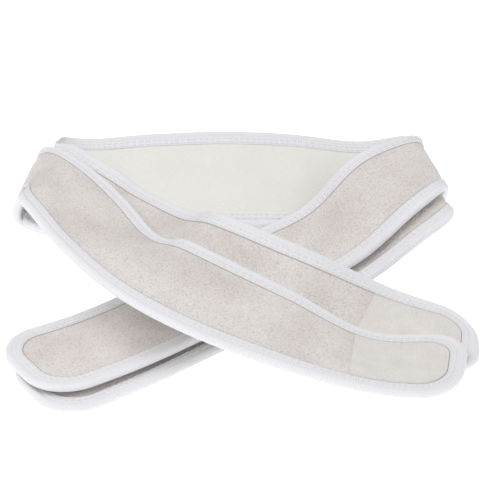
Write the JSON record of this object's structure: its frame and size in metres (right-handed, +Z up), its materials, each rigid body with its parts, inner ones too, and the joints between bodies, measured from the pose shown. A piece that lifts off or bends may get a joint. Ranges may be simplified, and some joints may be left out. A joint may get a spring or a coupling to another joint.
{
  "type": "spa headband",
  "caption": "Soft terry spa headbands with rounded hook-and-loop ends, worn round the hairline, shown nested with ends crossed",
  "frame": {"origin": "middle of the footprint, on the floor plane", "axes": "+Z up, ends towards -Y, back of the bands towards +Y, +X to the right seen from the ends"},
  "size_m": [0.1994, 0.186, 0.0539],
  "materials": {
    "terry": "short terry pile",
    "foam": "soft foam, matte",
    "lining": "smooth brushed knit",
    "binding": "ribbed folded tape, soft sheen",
    "thread": "satin thread",
    "closure_tape": "short stiff pile"
  },
  "bodies": {
    "bands": {"outer_band_loop_face": "terry", "outer_band_loop_core": "foam", "outer_band_loop_lining": "lining", "outer_band_loop_binding_top": "binding", "outer_band_loop_binding_low": "binding", "outer_band_loop_seam_top": "thread", "outer_band_loop_seam_low": "thread", "inner_band_loop_face": "terry", "inner_band_loop_core": "foam", "inner_band_loop_lining": "lining", "inner_band_loop_binding_top": "binding", "inner_band_loop_binding_low": "binding", "inner_band_loop_seam_top": "thread", "inner_band_loop_seam_low": "thread"},
    "outer_band_left_end": {"outer_band_left_end_face": "terry", "outer_band_left_end_core": "foam", "outer_band_left_end_lining": "lining", "outer_band_left_end_binding": "binding", "outer_band_left_end_seam": "thread", "outer_band_left_end_patch": "closure_tape", "outer_band_left_end_patch_seam": "thread"},
    "outer_band_right_end": {"outer_band_right_end_face": "terry", "outer_band_right_end_core": "foam", "outer_band_right_end_lining": "lining", "outer_band_right_end_binding": "binding", "outer_band_right_end_seam": "thread", "outer_band_right_end_patch": "closure_tape", "outer_band_right_end_patch_seam": "thread"},
    "inner_band_left_end": {"inner_band_left_end_face": "terry", "inner_band_left_end_core": "foam", "inner_band_left_end_lining": "lining", "inner_band_left_end_binding": "binding", "inner_band_left_end_seam": "thread", "inner_band_left_end_patch": "closure_tape", "inner_band_left_end_patch_seam": "thread"},
    "inner_band_right_end": {"inner_band_right_end_face": "terry", "inner_band_right_end_core": "foam", "inner_band_right_end_lining": "lining", "inner_band_right_end_binding": "binding", "inner_band_right_end_seam": "thread", "inner_band_right_end_patch": "closure_tape", "inner_band_right_end_patch_seam": "thread"}
  },
  "joints": [
    {"name": "outer_band_right_end_lift", "type": "hinge", "parent": "bands", "child": "outer_band_right_end", "pos_m": [0.01138, -0.05766, 0.02841], "axis": [-0.3057, -0.9515, -0.0356], "range_deg": [0, 60]},
    {"name": "inner_band_right_end_lift", "type": "hinge", "parent": "bands", "child": "inner_band_right_end", "pos_m": [0.03289, -0.03321, 0.0179], "axis": [-0.3189, -0.8496, -0.4201], "range_deg": [0, 30]},
    {"name": "outer_band_left_end_lift", "type": "hinge", "parent": "bands", "child": "outer_band_left_end", "pos_m": [-0.03954, -0.03155, 0.01133], "axis": [-0.6403, 0.7674, -0.0347], "range_deg": [0, 26]},
    {"name": "inner_band_left_end_lift", "type": "hinge", "parent": "bands", "child": "inner_band_left_end", "pos_m": [-0.04041, -0.03989, 0.00598], "axis": [-0.6268, 0.7784, -0.0342], "range_deg": [0, 13]}
  ],
  "couplings": [
    {"joint": "inner_band_right_end_lift", "follows": "outer_band_right_end_lift", "ratio": 0.5},
    {"joint": "inner_band_left_end_lift", "follows": "outer_band_left_end_lift", "ratio": 0.5}
  ]
}
